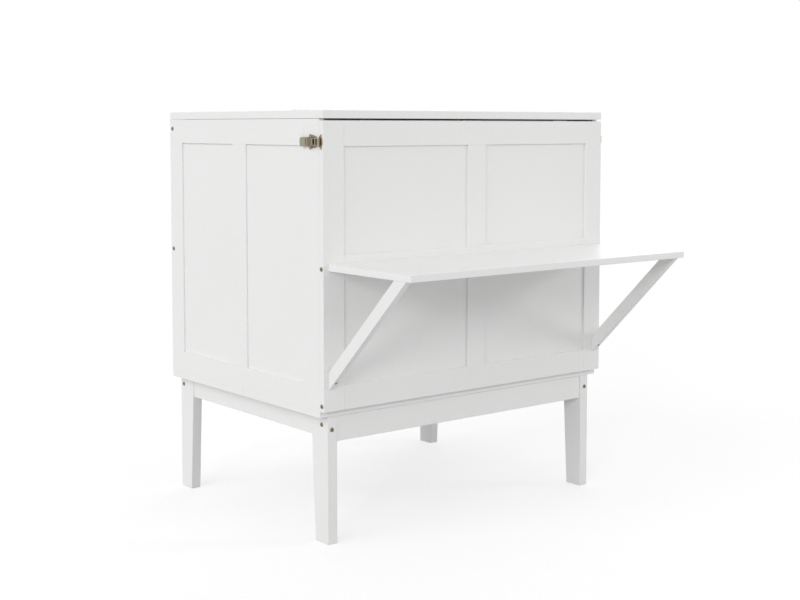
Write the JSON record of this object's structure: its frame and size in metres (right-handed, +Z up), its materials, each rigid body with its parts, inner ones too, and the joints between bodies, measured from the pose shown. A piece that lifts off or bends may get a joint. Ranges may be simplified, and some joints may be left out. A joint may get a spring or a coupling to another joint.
{
  "type": "wall bed",
  "caption": "Cabinet wall bed on tapered legs: the framed front folds down with its desk shelf as a foot, the top folds back, and an extension board with legs completes the deck.",
  "frame": {"origin": "on the floor, at the middle of the object's footprint, the desk shelf included", "axes": "+Z up, -Y towards the desk shelf that the user faces, +X to the right seen from the front"},
  "size_m": [1.064, 1.14, 1.1583],
  "materials": {
    "white_paint": "satin white paint over board",
    "hinge_paint": "white painted steel hinge",
    "aged_brass": "antique brass, satin",
    "hinge_steel": "zinc plated steel"
  },
  "bodies": {
    "cabinet": {"front_left_leg": "white_paint", "front_right_leg": "white_paint", "rear_left_leg": "white_paint", "rear_right_leg": "white_paint", "front_apron": "white_paint", "rear_apron": "white_paint", "left_apron": "white_paint", "right_apron": "white_paint", "centre_rail": "white_paint", "corner_blocks": "white_paint", "front_base_board": "white_paint", "rear_base_board": "white_paint", "left_front_stile": "white_paint", "left_rear_stile": "white_paint", "left_muntin": "white_paint", "left_rails": "white_paint", "left_panels": "white_paint", "right_front_stile": "white_paint", "right_rear_stile": "white_paint", "right_muntin": "white_paint", "right_rails": "white_paint", "right_panels": "white_paint", "back_stiles": "white_paint", "back_rails": "white_paint", "back_panels": "white_paint", "rear_top_board": "white_paint", "top_hinge_plates": "hinge_paint", "leg_bolts": "aged_brass", "side_bolts": "aged_brass", "latch_plates": "aged_brass", "top_hinge_pins": "hinge_steel", "door_hinge_plates": "hinge_steel", "door_hinge_pins": "hinge_steel"},
    "top_flap": {"front_top_board": "white_paint", "top_hinge_flaps": "hinge_paint"},
    "front_panel": {"door_left_stile": "white_paint", "door_right_stile": "white_paint", "door_top_rail": "white_paint", "door_middle_rail": "white_paint", "door_bottom_rail": "white_paint", "door_muntins": "white_paint", "door_panels": "white_paint", "door_bolts": "aged_brass", "shelf": "white_paint", "left_strut": "white_paint", "right_strut": "white_paint", "strut_screws": "aged_brass", "door_hinge_flaps": "hinge_steel", "extension_hinge_plates": "hinge_steel", "extension_hinge_pins": "hinge_steel", "latch_strikes": "aged_brass"},
    "extension": {"extension_board": "white_paint", "extension_hinge_flaps": "hinge_steel", "extension_brackets": "hinge_steel"},
    "extension_leg_frame": {"extension_legs": "white_paint", "extension_crossbar": "white_paint"},
    "left_lever": {"left_latch_lever": "aged_brass"},
    "left_hook": {"left_latch_hook": "aged_brass"},
    "right_lever": {"right_latch_lever": "aged_brass"},
    "right_hook": {"right_latch_hook": "aged_brass"}
  },
  "joints": [
    {"name": "front_panel_fold", "type": "hinge", "parent": "cabinet", "child": "front_panel", "pos_m": [0, -0.21175, 0.363], "axis": [1, 0, 0], "range_deg": [0, 90]},
    {"name": "extension_unfold", "type": "hinge", "parent": "front_panel", "child": "extension", "pos_m": [0, -0.21175, 1.12525], "axis": [1, 0, 0], "range_deg": [0, 180]},
    {"name": "extension_legs_fold", "type": "hinge", "parent": "extension", "child": "extension_leg_frame", "pos_m": [0, -0.1805, 0.7705], "axis": [-1, 0, 0], "range_deg": [0, 90]},
    {"name": "top_flap_fold", "type": "hinge", "parent": "cabinet", "child": "top_flap", "pos_m": [0, 0.17, 1.1553], "axis": [-1, 0, 0], "range_deg": [0, 180]},
    {"name": "left_lever_turn", "type": "hinge", "parent": "cabinet", "child": "left_lever", "pos_m": [-0.5242, -0.18, 1.07], "axis": [0, 0, 1], "range_deg": [0, 90]},
    {"name": "left_hook_turn", "type": "hinge", "parent": "left_lever", "child": "left_hook", "pos_m": [-0.5294, -0.173, 1.07], "axis": [0, 0, 1], "range_deg": [-90, 0]},
    {"name": "right_lever_turn", "type": "hinge", "parent": "cabinet", "child": "right_lever", "pos_m": [0.5242, -0.18, 1.07], "axis": [0, 0, -1], "range_deg": [0, 90]},
    {"name": "right_hook_turn", "type": "hinge", "parent": "right_lever", "child": "right_hook", "pos_m": [0.5294, -0.173, 1.07], "axis": [0, 0, -1], "range_deg": [-90, 0]}
  ],
  "couplings": [
    {"joint": "extension_unfold", "follows": "front_panel_fold", "ratio": 2},
    {"joint": "left_hook_turn", "follows": "left_lever_turn", "ratio": -1},
    {"joint": "right_hook_turn", "follows": "right_lever_turn", "ratio": -1}
  ]
}
